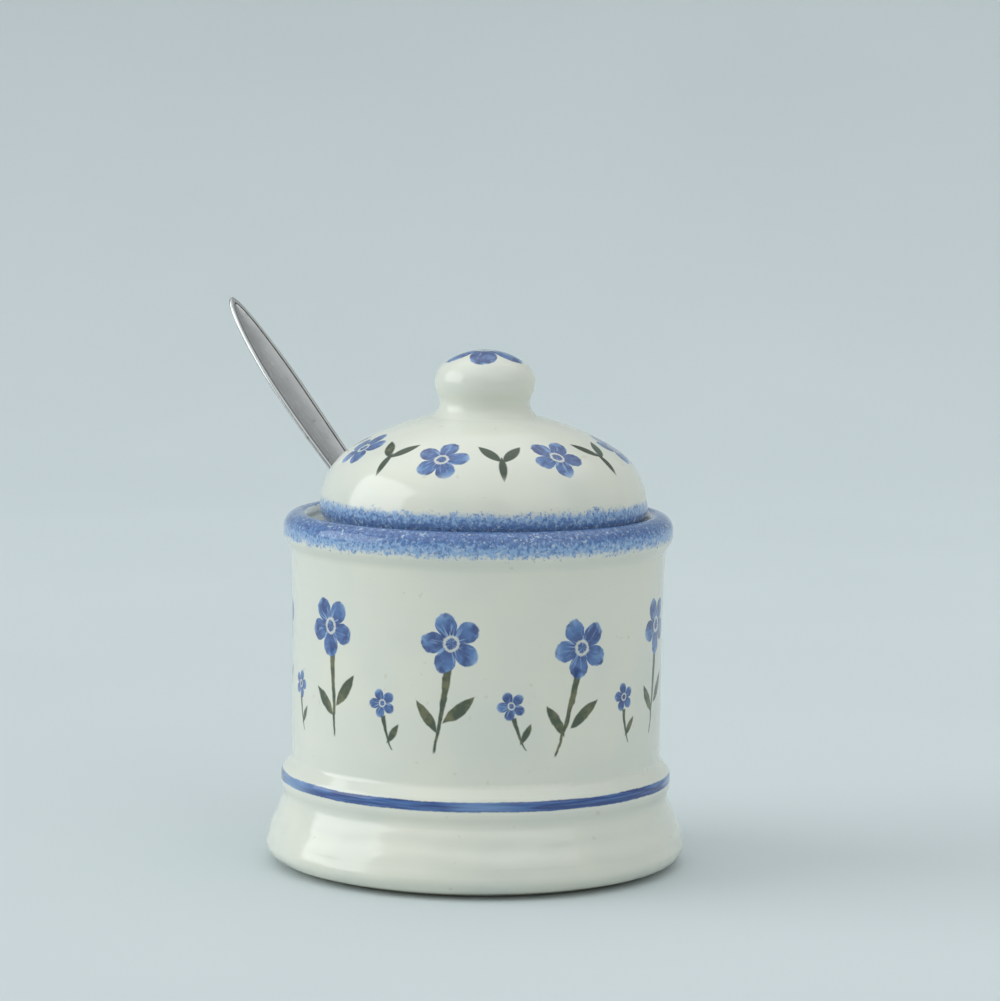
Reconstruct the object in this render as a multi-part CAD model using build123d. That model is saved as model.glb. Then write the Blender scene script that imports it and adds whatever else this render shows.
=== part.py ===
"""Jam pot: a glazed pot, a domed lid with a notch, and a steel spoon standing through the notch.

Millimetres. The origin is the centre of the pot's foot on the table. +Z is up, +X is to the
right in the photo and -Y faces its camera. One STEP file is written for each loose piece.
"""
import os
from math import asin, atan2, cos, hypot, radians, sin, sqrt, tan

from build123d import *

os.makedirs("parts", exist_ok=True)

# Pot, outside
POT_HEIGHT = 77.5          # table to the crest of the rim
FOOT_RADIUS = 46.2         # widest part of the foot
FOOT_EDGE_HEIGHT = 2.0     # where the foot's underside meets its widest band
FOOT_BAND = 4.0            # height of the widest band before the flank leans in
FOOT_ROUND = 3.4           # rounding below the widest band
FOOT_SHOULDER_ROUND = 6.0  # rounding above the widest band
RING_RADIUS = 39.6         # outer edge of the ring the pot stands on
RING_WIDTH = 5.3           # width of that ring
RING_ROUND = 0.6           # softened edges of the ring
RECESS_DEPTH = 3.0         # hollow under the floor
RECESS_SLOPE = 3.0         # run of the hollow's sloping side
NECK_RADIUS = 42.2         # groove between foot and bead
NECK_HEIGHT = 15.4
NECK_ROUND = 2.5
BEAD_RADIUS = 43.0         # painted bead above the groove
BEAD_BOTTOM = 17.4
BEAD_TOP = 20.6
BEAD_ROUND = 2.6
WALL_RADIUS = 40.7         # straight wall
WALL_START = 23.4          # where the bead's upper slope meets the wall
WALL_COVE = 1.6
FLARE_START = 55.0         # where the wall begins to flare
FLARE_RADIUS = 41.25       # wall just below the rim
FLARE_ROUND = 400.0
RIM_RADIUS = 42.8          # outside of the rolled rim
RIM_BAND = 5.5             # height of the rim's outer face
RIM_UNDERCUT = 2.3         # height of the slope below the rim
RIM_UNDER_ROUND = 2.2
RIM_OUTER_ROUND = 3.2
RIM_INNER_ROUND = 1.9

# Pot, inside
WALL_THICKNESS = 4.6
FLOOR_HEIGHT = 8.0
FLOOR_ROUND = 9.0          # round between floor and wall
GALLERY_RADIUS = 37.4      # inside of the rim, around the lid
GALLERY_DEPTH = 2.8        # crest of the rim down to the ledge
GALLERY_ROUND = 1.0
MOUTH_RADIUS = 29.8        # opening inside the ledge
MOUTH_ROUND = 1.0
LEDGE_THICKNESS = 3.2
LEDGE_SLOPE = 5.0          # height of the slope below the ledge
LEDGE_COVE = 5.0

# Lid
LID_PLAY = 1.4             # side play of the lid in the gallery
LID_EDGE_ROUND = 5.3       # rolled lower edge
LID_EDGE_HEIGHT = 4.2      # flat seat up to the lid's widest line
LID_SHOULDER = 15.0        # radius of the dome's shoulder
LID_CROWN = 54.0           # radius of the dome's top
LID_WALL = 4.5
KNOB_NECK_RADIUS = 9.9
KNOB_COVE = 3.2            # hollow curve between dome and knob
KNOB_RADIUS = 11.0
KNOB_UNDER_ROUND = 6.3     # knob below its widest line
KNOB_SIDE_ROUND = 5.2      # knob above its widest line
KNOB_TOP = 15.0            # radius of the knob's top
KNOB_WALL = 4.6
NOTCH_SIDE_CLEARANCE = 1.4
NOTCH_TOP_CLEARANCE = 2.0
NOTCH_EDGE_ROUND = 0.9

# Spoon
SPOON_AZIMUTH = 37.2       # degrees behind the left, where the handle leans out
SPOON_LENGTH = 153.0
BOWL_LENGTH = 44.0
BOWL_WIDTH = 27.0
BOWL_DEPTH = 7.5
BOWL_THICKNESS = 1.2
HANDLE_THICKNESS = 1.0
HANDLE_WIDTH = 10.8        # widest part of the handle
HANDLE_WIDEST = 27.0       # that place, measured back from the handle's end
HANDLE_NECK_WIDTH = 4.4    # narrowest part, above the bowl
HANDLE_NECK = 12.0         # that place, measured up from the bowl
HEEL_WIDTH = 9.0           # handle where it runs into the bowl
HEEL_OVERLAP = 3.0         # run of the handle inside the bowl's end
POINT_TAPER = 0.36         # how far the handle keeps its width toward the end
POINT_BLUNT = 0.60         # how blunt the handle's end is
HANDLE_BEND_START = 42.0   # where the end begins to curve, back from the end
HANDLE_BEND = 1.6          # how far the end curves up
PANEL_BORDER = 0.9         # raised border around the sunk panel
PANEL_DEPTH = 0.3
PANEL_LENGTH = 74.0
SPOON_GAP = 0.4            # handle to mouth edge, and bowl to pot floor
TIP_ANGLE = 45.0           # where on the floor round the bowl's tip stands


def rounded_outline(corners):
    """Closed outline in the XZ plane from (radius, height, round) corners, rounds kept within sides."""
    count = len(corners)
    reach = []
    for i, (r, z, size) in enumerate(corners):
        before = corners[i - 1]
        after = corners[(i + 1) % count]
        turn = atan2(after[1] - z, after[0] - r) - atan2(z - before[1], r - before[0])
        reach.append(tan(abs((turn + radians(180)) % radians(360) - radians(180)) / 2))
    scale_by = [1.0] * count
    for i, (r, z, size) in enumerate(corners):
        j = (i + 1) % count
        side = hypot(corners[j][0] - r, corners[j][1] - z)
        needed = size * reach[i] + corners[j][2] * reach[j]
        if needed > 0.98 * side:
            scale_by[i] = min(scale_by[i], 0.98 * side / needed)
            scale_by[j] = min(scale_by[j], 0.98 * side / needed)
    points = [(r, 0, z) for r, z, size in corners]
    rounds = [size * by for (r, z, size), by in zip(corners, scale_by)]
    return FilletPolyline(*points, radius=rounds, close=True)


def turned(outline):
    """Solid turned about Z from a closed outline in the XZ plane."""
    return revolve(make_face(outline.edges()), Axis.Z)


def arc(centre, start, end):
    """Arc in the XZ plane about a centre, the short way from start to end."""
    a = (start[0] - centre[0], start[1] - centre[1])
    b = (end[0] - centre[0], end[1] - centre[1])
    size = hypot(*a)
    mid = hypot(a[0] + b[0], a[1] + b[1])
    via = (centre[0] + (a[0] + b[0]) / mid * size, centre[1] + (a[1] + b[1]) / mid * size)
    return ThreePointArc((start[0], 0, start[1]), (via[0], 0, via[1]), (end[0], 0, end[1]))


def line(start, end):
    """Straight line in the XZ plane."""
    return Line((start[0], 0, start[1]), (end[0], 0, end[1]))


def toward(centre, other, distance):
    """Point at a distance from a centre on the way to another point."""
    length = hypot(other[0] - centre[0], other[1] - centre[1])
    step = distance / length
    return (centre[0] + (other[0] - centre[0]) * step, centre[1] + (other[1] - centre[1]) * step)


# Pot body
inner_radius = WALL_RADIUS - WALL_THICKNESS
ledge_height = POT_HEIGHT - GALLERY_DEPTH
ledge_bottom = ledge_height - LEDGE_THICKNESS
rim_bottom = POT_HEIGHT - RIM_BAND
pot_body = turned(rounded_outline([
    (0, RECESS_DEPTH, 0),
    (RING_RADIUS - RING_WIDTH - RECESS_SLOPE, RECESS_DEPTH, RING_ROUND),
    (RING_RADIUS - RING_WIDTH, 0, RING_ROUND),
    (RING_RADIUS, 0, RING_ROUND),
    (FOOT_RADIUS, FOOT_EDGE_HEIGHT, FOOT_ROUND),
    (FOOT_RADIUS, FOOT_EDGE_HEIGHT + FOOT_BAND, FOOT_SHOULDER_ROUND),
    (NECK_RADIUS, NECK_HEIGHT, NECK_ROUND),
    (BEAD_RADIUS, BEAD_BOTTOM, BEAD_ROUND),
    (BEAD_RADIUS, BEAD_TOP, BEAD_ROUND),
    (WALL_RADIUS, WALL_START, WALL_COVE),
    (WALL_RADIUS, FLARE_START, FLARE_ROUND),
    (FLARE_RADIUS, rim_bottom - RIM_UNDERCUT, RIM_UNDER_ROUND),
    (RIM_RADIUS, rim_bottom, RIM_UNDER_ROUND),
    (RIM_RADIUS, POT_HEIGHT, RIM_OUTER_ROUND),
    (GALLERY_RADIUS, POT_HEIGHT, RIM_INNER_ROUND),
    (GALLERY_RADIUS, ledge_height, GALLERY_ROUND),
    (MOUTH_RADIUS, ledge_height, MOUTH_ROUND),
    (MOUTH_RADIUS, ledge_bottom, MOUTH_ROUND),
    (inner_radius, ledge_bottom - LEDGE_SLOPE, LEDGE_COVE),
    (inner_radius, FLOOR_HEIGHT, FLOOR_ROUND),
    (0, FLOOR_HEIGHT, 0),
]))

# Where the spoon stands, in the upright plane through the pot's axis: u outward, z up.
# The bowl's tip stands in the floor round across the pot and the handle leans on the mouth edge.
tip_reach = FLOOR_ROUND - SPOON_GAP
tip_u = -(inner_radius - FLOOR_ROUND + tip_reach * cos(radians(TIP_ANGLE)))
tip_z = FLOOR_HEIGHT + FLOOR_ROUND - tip_reach * sin(radians(TIP_ANGLE))
edge_u = MOUTH_RADIUS + MOUTH_ROUND - tip_u
edge_z = ledge_height - MOUTH_ROUND - tip_z
handle_offset = MOUTH_ROUND + SPOON_GAP + HANDLE_THICKNESS / 2
lean = atan2(edge_u, edge_z) - asin(handle_offset / hypot(edge_u, edge_z))
outward = Vector(-cos(radians(SPOON_AZIMUTH)), sin(radians(SPOON_AZIMUTH)), 0)
upward = Vector(0, 0, 1)
along_spoon = outward * sin(lean) + upward * cos(lean)
above_spoon = upward * sin(lean) - outward * cos(lean)
spoon_place = Plane(outward * tip_u + upward * tip_z, x_dir=along_spoon, z_dir=above_spoon)

# Lid: arcs that run on from each other, from the seat up to the top of the knob
lid_radius = GALLERY_RADIUS - LID_PLAY
widest = ledge_height + LID_EDGE_HEIGHT
edge_centre = (lid_radius - LID_EDGE_ROUND, widest)
shoulder_centre = (lid_radius - LID_SHOULDER, widest)
crown_centre = (0, widest - sqrt((LID_CROWN - LID_SHOULDER) ** 2 - shoulder_centre[0] ** 2))
cove_radius = KNOB_NECK_RADIUS + KNOB_COVE
cove_centre = (cove_radius, crown_centre[1] + sqrt((LID_CROWN + KNOB_COVE) ** 2 - cove_radius ** 2))
under_radius = KNOB_RADIUS - KNOB_UNDER_ROUND
under_rise = sqrt((KNOB_UNDER_ROUND + KNOB_COVE) ** 2 - (cove_radius - under_radius) ** 2)
knob_widest = cove_centre[1] + under_rise
under_centre = (under_radius, knob_widest)
side_centre = (KNOB_RADIUS - KNOB_SIDE_ROUND, knob_widest)
top_centre = (0, knob_widest - sqrt((KNOB_TOP - KNOB_SIDE_ROUND) ** 2 - side_centre[0] ** 2))
seat_outer = edge_centre[0] + sqrt(LID_EDGE_ROUND ** 2 - LID_EDGE_HEIGHT ** 2)
crown_joint = toward(crown_centre, shoulder_centre, LID_CROWN)
cove_joint = toward(crown_centre, cove_centre, LID_CROWN)
knob_joint = toward(under_centre, cove_centre, KNOB_UNDER_ROUND)
top_joint = toward(top_centre, side_centre, KNOB_TOP)
knob_top = (0, top_centre[1] + KNOB_TOP)

# The lid's inside follows the dome one wall thickness in, with a hollow up into the knob
inner_shoulder = LID_SHOULDER - LID_WALL
inner_crown = LID_CROWN - LID_WALL
hollow_radius = KNOB_NECK_RADIUS - KNOB_WALL
hollow_end = knob_top[1] - KNOB_WALL - hollow_radius
hollow_foot = crown_centre[1] + sqrt(inner_crown ** 2 - hollow_radius ** 2)
inner_joint = toward(crown_centre, shoulder_centre, inner_crown)
seat_inner = shoulder_centre[0] + sqrt(inner_shoulder ** 2 - LID_EDGE_HEIGHT ** 2)
lid_outline = [
    line((seat_inner, ledge_height), (seat_outer, ledge_height)),
    arc(edge_centre, (seat_outer, ledge_height), (lid_radius, widest)),
    arc(shoulder_centre, (lid_radius, widest), crown_joint),
    arc(crown_centre, crown_joint, cove_joint),
    arc(cove_centre, cove_joint, knob_joint),
    arc(under_centre, knob_joint, (KNOB_RADIUS, knob_widest)),
    arc(side_centre, (KNOB_RADIUS, knob_widest), top_joint),
    arc(top_centre, top_joint, knob_top),
    line(knob_top, (0, hollow_end + hollow_radius)),
    arc((0, hollow_end), (0, hollow_end + hollow_radius), (hollow_radius, hollow_end)),
    line((hollow_radius, hollow_end), (hollow_radius, hollow_foot)),
    arc(crown_centre, (hollow_radius, hollow_foot), inner_joint),
    arc(shoulder_centre, inner_joint, (seat_inner, ledge_height)),
]
lid_turned = revolve(make_face(lid_outline), Axis.Z)

# The lid is pushed over by its play, away from the spoon, and has an arched notch around the handle
lid_shift = outward * -LID_PLAY
handle_u = MOUTH_RADIUS + MOUTH_ROUND - handle_offset * cos(lean)
handle_z = ledge_height - MOUTH_ROUND + handle_offset * sin(lean)
exit_z = handle_z + (lid_radius - LID_PLAY - handle_u) / tan(lean)
notch_width = HANDLE_WIDTH + 2 * NOTCH_SIDE_CLEARANCE
notch_top = exit_z + HANDLE_THICKNESS / 2 / sin(lean) + NOTCH_TOP_CLEARANCE
notch_rise = notch_top - notch_width / 2
notch_place = Plane(Vector(0, 0, 0), x_dir=upward.cross(outward), z_dir=outward)
notch_arch = Pos(0, notch_rise) * Circle(notch_width / 2)
notch_leg = Pos(0, notch_rise / 2) * Rectangle(notch_width, notch_rise)
notch_reach = lid_radius + LID_PLAY
notch = extrude(notch_place * (notch_arch + notch_leg), amount=notch_reach)
notch_start = inner_shoulder
notch = notch - Pos(0, 0, POT_HEIGHT) * Cylinder(notch_start, 4 * POT_HEIGHT)
lid = Pos(lid_shift) * lid_turned - notch
notch_edges = []
for edge in lid.edges():
    spot = notch_place.to_local_coords(edge.center())
    beside = abs(spot.X) < notch_width / 2 + 0.01 and spot.Y < notch_top + 0.01
    if beside and spot.Z > notch_start and edge.geom_type != GeomType.LINE:
        notch_edges.append(edge)
lid = fillet(notch_edges, NOTCH_EDGE_ROUND)

# Spoon, laid flat first: x from the bowl's tip to the handle's end, y across, z to the open side
top_face = HANDLE_THICKNESS / 2
ball = ((BOWL_WIDTH / 2) ** 2 + BOWL_DEPTH ** 2) / (2 * BOWL_DEPTH)
ball_long = ball * BOWL_LENGTH / BOWL_WIDTH
bowl_centre = (BOWL_LENGTH / 2, 0, top_face + ball - BOWL_DEPTH)


def spoon_ball(shrink):
    """Long ball whose lower cap is the bowl, its skin moved inward by a shrink."""
    half = EllipticalCenterArc((0, 0), ball_long - shrink, ball - shrink, start_angle=0, arc_size=180)
    base = Line(half @ 1, half @ 0)
    return Pos(*bowl_centre) * revolve(make_face([half, base]), Axis.X)


below_rim = Pos(BOWL_LENGTH / 2, 0, top_face - ball) * Box(2 * ball_long, 2 * ball, 2 * ball)
bowl = spoon_ball(0) & below_rim

# Handle seen from above: a flare off the bowl, a swell to its widest place and a blunt point
handle_start = BOWL_LENGTH - HEEL_OVERLAP
neck_x = BOWL_LENGTH + HANDLE_NECK
wide_x = SPOON_LENGTH - HANDLE_WIDEST
heel_half = HEEL_WIDTH / 2


def handle_edges(inset):
    """One edge of the handle from its neck to its end, moved inward by an inset."""
    neck_half = HANDLE_NECK_WIDTH / 2 - inset
    wide_half = HANDLE_WIDTH / 2 - inset
    end = SPOON_LENGTH - inset
    pull = (wide_x - neck_x) / 2
    taper = (end - wide_x) * POINT_TAPER
    return [
        Bezier((neck_x, neck_half), (neck_x + pull, neck_half), (wide_x - pull, wide_half), (wide_x, wide_half)),
        Bezier((wide_x, wide_half), (wide_x + taper, wide_half), (end, wide_half * POINT_BLUNT), (end, 0)),
    ]


def both_sides(edges):
    """Closed face from one edge run, its mirror image and the line that joins their starts."""
    start = edges[0] @ 0
    close = Line((start.X, start.Y), (start.X, -start.Y))
    return make_face(edges + [mirror(edge, Plane.XZ) for edge in edges] + [close])


heel_pull = (neck_x - handle_start) / 2
heel = Bezier((handle_start, heel_half), (handle_start + heel_pull, HANDLE_NECK_WIDTH / 2),
              (neck_x - heel_pull, HANDLE_NECK_WIDTH / 2), (neck_x, HANDLE_NECK_WIDTH / 2))
handle_plan = both_sides([heel] + handle_edges(0))
panel_middle = SPOON_LENGTH - PANEL_LENGTH / 2
panel_plan = both_sides(handle_edges(PANEL_BORDER))
panel_plan = panel_plan & Pos(panel_middle, 0) * Rectangle(PANEL_LENGTH, HANDLE_WIDTH)


def handle_layer(plan, lower, upper):
    """Layer of the handle between two heights from its middle line, with the curved end."""
    bend_x = SPOON_LENGTH - HANDLE_BEND_START
    past = SPOON_LENGTH + HANDLE_BEND
    low_edge = [
        Line((0, lower), (bend_x, lower)),
        Bezier((bend_x, lower), (bend_x + HANDLE_BEND_START / 2, lower), (past, lower + HANDLE_BEND)),
    ]
    high_edge = [
        Line((0, upper), (bend_x, upper)),
        Bezier((bend_x, upper), (bend_x + HANDLE_BEND_START / 2, upper), (past, upper + HANDLE_BEND)),
    ]
    ends = [
        Line((0, lower), (0, upper)),
        Line((past, lower + HANDLE_BEND), (past, upper + HANDLE_BEND)),
    ]
    side = Plane.XZ * make_face(low_edge + high_edge + ends)
    tall = extrude(plan, amount=4 * BOWL_DEPTH, both=True)
    wide = extrude(side, amount=BOWL_WIDTH, both=True)
    return tall & wide


handle = handle_layer(handle_plan, -top_face, top_face)
panel = handle_layer(panel_plan, top_face - PANEL_DEPTH, top_face + BOWL_THICKNESS)
spoon_flat = bowl + handle - spoon_ball(BOWL_THICKNESS) - panel
spoon = spoon_place * spoon_flat

export_step(pot_body, "parts/pot_body.step")
export_step(lid, "parts/lid.step")
export_step(spoon, "parts/spoon.step")
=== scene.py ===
import math

import bpy
from mathutils import Matrix, Vector


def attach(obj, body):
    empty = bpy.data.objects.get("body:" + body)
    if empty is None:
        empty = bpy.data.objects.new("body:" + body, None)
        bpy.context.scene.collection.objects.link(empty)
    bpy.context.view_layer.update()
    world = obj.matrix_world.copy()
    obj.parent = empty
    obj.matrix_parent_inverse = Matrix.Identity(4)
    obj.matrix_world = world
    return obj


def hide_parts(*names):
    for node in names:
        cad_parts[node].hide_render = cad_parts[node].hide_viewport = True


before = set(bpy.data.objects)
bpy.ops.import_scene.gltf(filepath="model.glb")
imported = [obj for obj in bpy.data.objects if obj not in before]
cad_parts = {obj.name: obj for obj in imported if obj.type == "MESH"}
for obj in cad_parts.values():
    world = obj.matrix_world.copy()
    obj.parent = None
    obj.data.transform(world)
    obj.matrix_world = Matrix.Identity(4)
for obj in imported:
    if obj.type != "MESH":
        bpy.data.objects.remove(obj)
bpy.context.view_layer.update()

scene = bpy.context.scene
scene.view_settings.view_transform = "Standard"

MM = 0.001
PER_METRE = 1000.0
UP = Vector((0, 0, 1))

# Glaze and paint colours, linear
CREAM = (0.79, 0.79, 0.69)
CREAM_COOL = (0.74, 0.76, 0.68)
CLAY = (0.62, 0.55, 0.43)
BLUE_DARK = (0.014, 0.052, 0.225)
BLUE_MID = (0.058, 0.160, 0.42)
BLUE_PALE = (0.25, 0.42, 0.69)
GREEN_DARK = (0.042, 0.068, 0.036)
GREEN_DEEP = (0.018, 0.042, 0.017)
GREEN_OLIVE = (0.15, 0.15, 0.070)

# Steel and floor colours, linear
STEEL = (0.60, 0.605, 0.60)
STEEL_SMUDGED = (0.51, 0.52, 0.52)
STEEL_STAINED = (0.20, 0.19, 0.17)
GROOVE_GRIME_AND_SHADE_DARK = (0.07, 0.07, 0.065)
GROOVE_GRIME_AND_SHADE_PALE = (0.16, 0.16, 0.15)
BOARD = (0.615, 0.675, 0.692)
BOARD_PALE = (0.63, 0.69, 0.706)

# Spacing of the random draws along the white noise
CHANCE_STEP = 3.7


class Graph:
    """A material's node tree, with short calls for the nodes that the paint needs."""

    def __init__(self, name):
        self.material = bpy.data.materials.new(name)
        self.material.use_nodes = True
        self.tree = self.material.node_tree
        self.tree.nodes.clear()
        output = self.tree.nodes.new("ShaderNodeOutputMaterial")
        self.shader = self.tree.nodes.new("ShaderNodeBsdfPrincipled")
        self.tree.links.new(self.shader.outputs[0], output.inputs[0])

    def feed(self, socket, value):
        """Links a socket to a socket, or sets a plain value on it."""
        if isinstance(value, bpy.types.NodeSocket):
            self.tree.links.new(value, socket)
        elif isinstance(value, tuple) and len(value) == 3 and socket.type == "RGBA":
            socket.default_value = (*value, 1.0)
        else:
            socket.default_value = value

    def op(self, operation, *values):
        """Maths node."""
        node = self.tree.nodes.new("ShaderNodeMath")
        node.operation = operation
        for socket, value in zip(node.inputs, values):
            self.feed(socket, value)
        return node.outputs[0]

    def add(self, *values):
        """Sum of several values."""
        total = values[0]
        for value in values[1:]:
            total = self.op("ADD", total, value)
        return total

    def sub(self, first, second):
        """First value less the second."""
        return self.op("SUBTRACT", first, second)

    def mul(self, *values):
        """Product of several values."""
        total = values[0]
        for value in values[1:]:
            total = self.op("MULTIPLY", total, value)
        return total

    def most(self, *values):
        """Largest of several values."""
        total = values[0]
        for value in values[1:]:
            total = self.op("MAXIMUM", total, value)
        return total

    def length(self, x, y):
        """Length of a flat vector."""
        return self.op("SQRT", self.add(self.mul(x, x), self.mul(y, y)))

    def fade(self, value, low, high):
        """Smooth step from 0 at low to 1 at high."""
        node = self.tree.nodes.new("ShaderNodeMapRange")
        node.interpolation_type = "SMOOTHSTEP"
        self.feed(node.inputs["Value"], value)
        self.feed(node.inputs["From Min"], low)
        self.feed(node.inputs["From Max"], high)
        return node.outputs["Result"]

    def unfade(self, value, low, high):
        """Smooth step from 1 at low to 0 at high."""
        return self.sub(1.0, self.fade(value, low, high))

    def mix(self, factor, first, second):
        """Colour between two colours."""
        node = self.tree.nodes.new("ShaderNodeMix")
        node.data_type = "RGBA"
        self.feed(node.inputs["Factor"], factor)
        self.feed(node.inputs[6], first)
        self.feed(node.inputs[7], second)
        return node.outputs[2]

    def vector(self, x, y, z):
        """Vector of three values."""
        node = self.tree.nodes.new("ShaderNodeCombineXYZ")
        for socket, value in zip(node.inputs, (x, y, z)):
            self.feed(socket, value)
        return node.outputs[0]

    def noise(self, vector, scale, detail=2.0, rough=0.5):
        """Noise between 0 and 1, its scale in waves per millimetre of the vector."""
        node = self.tree.nodes.new("ShaderNodeTexNoise")
        self.feed(node.inputs["Vector"], vector)
        node.inputs["Scale"].default_value = scale
        node.inputs["Detail"].default_value = detail
        node.inputs["Roughness"].default_value = rough
        return node.outputs["Fac"]

    def sway(self, vector, scale, reach, detail=2.0):
        """Noise about 0 that spans a reach."""
        return self.mul(self.sub(self.noise(vector, scale, detail), 0.5), reach)

    def chance(self, index, seed):
        """Random value between 0 and 1 for a whole number."""
        node = self.tree.nodes.new("ShaderNodeTexWhiteNoise")
        node.noise_dimensions = "1D"
        self.feed(node.inputs["W"], self.add(self.mul(index, CHANCE_STEP), seed))
        return node.outputs["Value"]

    def spread(self, index, seed, reach):
        """Random value about 0 that spans a reach, for a whole number."""
        return self.mul(self.sub(self.chance(index, seed), 0.5), reach)

    def place(self, axis=(0.0, 0.0)):
        """Object position in millimetres from an upright axis: x, y, z."""
        coord = self.tree.nodes.new("ShaderNodeTexCoord")
        split = self.tree.nodes.new("ShaderNodeSeparateXYZ")
        self.tree.links.new(coord.outputs["Object"], split.inputs[0])
        x = self.sub(self.mul(split.outputs[0], PER_METRE), axis[0])
        y = self.sub(self.mul(split.outputs[1], PER_METRE), axis[1])
        z = self.mul(split.outputs[2], PER_METRE)
        return x, y, z

    def around(self, x, y):
        """Radius about the upright axis, and angle from the front."""
        return self.length(x, y), self.op("ARCTAN2", x, self.mul(y, -1.0))

    def bump(self, height, distance):
        """Bump on the shader's normal, its height in millimetres times a distance."""
        node = self.tree.nodes.new("ShaderNodeBump")
        node.inputs["Strength"].default_value = 1.0
        node.inputs["Distance"].default_value = distance * MM
        self.feed(node.inputs["Height"], height)
        self.tree.links.new(node.outputs[0], self.shader.inputs["Normal"])


# Painted strokes: soft edges in millimetres, and a flower's parts as shares of its size
PETALS = 5
PETAL_TURN = 6.28
PETAL_NOTCH, PETAL_REACH, PETAL_ROUND, PETAL_FRAY = 0.36, 0.60, 0.5, 0.10
PETAL_EDGE, PETAL_COVER = (-0.10, 0.34), 0.94
RIB_WAVES, FRAY_WAVES, FRAY_SCALE = (5.0, 0.25), (2.2, 0.5), 2.6
LEAF_EDGE = (-0.12, 0.25)
STEM_EDGE = (-0.12, 0.22)
STEM_TAPER = 0.72
STEM_TOP_EDGE, STEM_FOOT_EDGE = (-0.02, 0.03), (0.97, 1.02)

# Steps in depth, wash or ribs at which the paint changes, and the share of each change
PETAL_WASH = (0.40, 0.64)
HEART_DEPTH, HEART_SHARE = (0.66, 0.30), 0.75
RIB_EDGE, RIB_DEPTH, RIB_SHARE = (0.52, 0.68), (1.0, 0.30), 0.9
TIP_DEPTH, TIP_WASH, TIP_SHARE = (0.66, 1.0), (0.64, 0.36), 0.85
RING_INNER, RING_OUTER, RING_SHARE = (0.15, 0.20), (0.30, 0.24), 0.78
GREEN_WASH, GREEN_COVER = (0.34, 0.58), 0.96

# Sponge stipple: scales in waves per millimetre, shares of each noise, steps in grain, tone and cover
SPONGE_FINE, SPONGE_BROAD, SPONGE_TONE, SPONGE_ROUGH = 1.45, 0.62, 1.25, 0.6
FINE_SHARE, BROAD_SHARE, THIN_SHARE = 0.72, 0.28, 0.46
TONE_SHARE, DARK_SHARE = 0.9, 0.24
GRAIN_EDGE, TONE_MID, TONE_DARK = (0.30, 0.46), (0.40, 0.60), (0.58, 0.86)
HAZE_COVER, HAZE_SHARE = (0.40, 1.0), 0.60
SPONGE_COVER = 0.86


def cells(g, angle, count, phase):
    """Splits a turn into equal cells: cell number and angle from the cell's middle."""
    step = 2 * math.pi / count
    number = g.op("FLOOR", g.add(g.op("DIVIDE", angle, step), 0.5, phase))
    within = g.sub(angle, g.mul(g.sub(number, phase), step))
    return g.op("FLOORED_MODULO", number, count), within


def turned(g, x, y, angle):
    """Flat position turned by an angle."""
    c = g.op("COSINE", angle)
    s = g.op("SINE", angle)
    return g.add(g.mul(x, c), g.mul(y, s)), g.sub(g.mul(y, c), g.mul(x, s))


def blossom(g, x, y, size, turn):
    """Flower: petal mask, distance from the heart as a share of its size, petal ribs."""
    reach = g.length(x, y)
    bearing = g.add(g.op("ARCTAN2", y, x), turn)

    def waves(around, outward):
        """Place in the flower, stretched around its heart and outward."""
        return g.vector(g.mul(bearing, around), g.mul(reach, outward), turn)

    lobe = g.op("ABSOLUTE", g.op("COSINE", g.mul(bearing, PETALS / 2)))
    ribs = g.noise(waves(*RIB_WAVES), 1.0)
    frayed = g.noise(waves(*FRAY_WAVES), FRAY_SCALE)
    bulge = g.mul(PETAL_REACH, g.op("POWER", lobe, PETAL_ROUND))
    edge = g.mul(size, g.add(PETAL_NOTCH, bulge, g.mul(frayed, PETAL_FRAY)))
    petals = g.fade(g.sub(edge, reach), *PETAL_EDGE)
    depth = g.add(g.op("DIVIDE", reach, size), g.mul(g.sub(frayed, 0.5), PETAL_FRAY))
    return petals, depth, ribs


def leaf(g, x, y, middle, angle, length, width):
    """Pointed leaf mask about a middle point."""
    along, across = turned(g, g.sub(x, middle[0]), g.sub(y, middle[1]), angle)
    part = g.op("DIVIDE", along, length)
    half = g.mul(width, g.sub(1.0, g.mul(part, part)))
    return g.fade(g.sub(half, g.op("ABSOLUTE", across)), *LEAF_EDGE)


def stem(g, x, y, top, bottom, width, bend):
    """Tapered stem mask between two heights, curving sideways toward its foot."""
    part = g.op("DIVIDE", g.sub(top, y), top - bottom)
    side = g.sub(x, g.mul(bend, part, part))
    half = g.mul(width, g.sub(1.0, g.mul(STEM_TAPER, part)))
    inside = g.mul(g.fade(part, *STEM_TOP_EDGE), g.unfade(part, *STEM_FOOT_EDGE))
    return g.mul(g.fade(g.sub(half, g.op("ABSOLUTE", side)), *STEM_EDGE), inside)


def paint_flower(g, colour, flower, where, wash):
    """Lays a flower's blue petals, with pale ribs, a pale ring and a dark heart, over a colour."""
    petals, depth, ribs = flower
    petals = g.mul(petals, where)
    heart = g.mul(g.fade(depth, *HEART_DEPTH), HEART_SHARE)
    blue = g.mix(g.most(g.fade(wash, *PETAL_WASH), heart), BLUE_MID, BLUE_DARK)
    pale_ribs = g.mul(g.fade(ribs, *RIB_EDGE), g.fade(depth, *RIB_DEPTH), RIB_SHARE)
    blue = g.mix(pale_ribs, blue, BLUE_PALE)
    pale_tips = g.mul(g.fade(depth, *TIP_DEPTH), g.fade(wash, *TIP_WASH), TIP_SHARE)
    blue = g.mix(pale_tips, blue, BLUE_PALE)
    colour = g.mix(g.mul(petals, PETAL_COVER), colour, blue)
    ring = g.mul(g.fade(depth, *RING_INNER), g.fade(depth, *RING_OUTER))
    return g.mix(g.mul(petals, ring, RING_SHARE), colour, CREAM)


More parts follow.
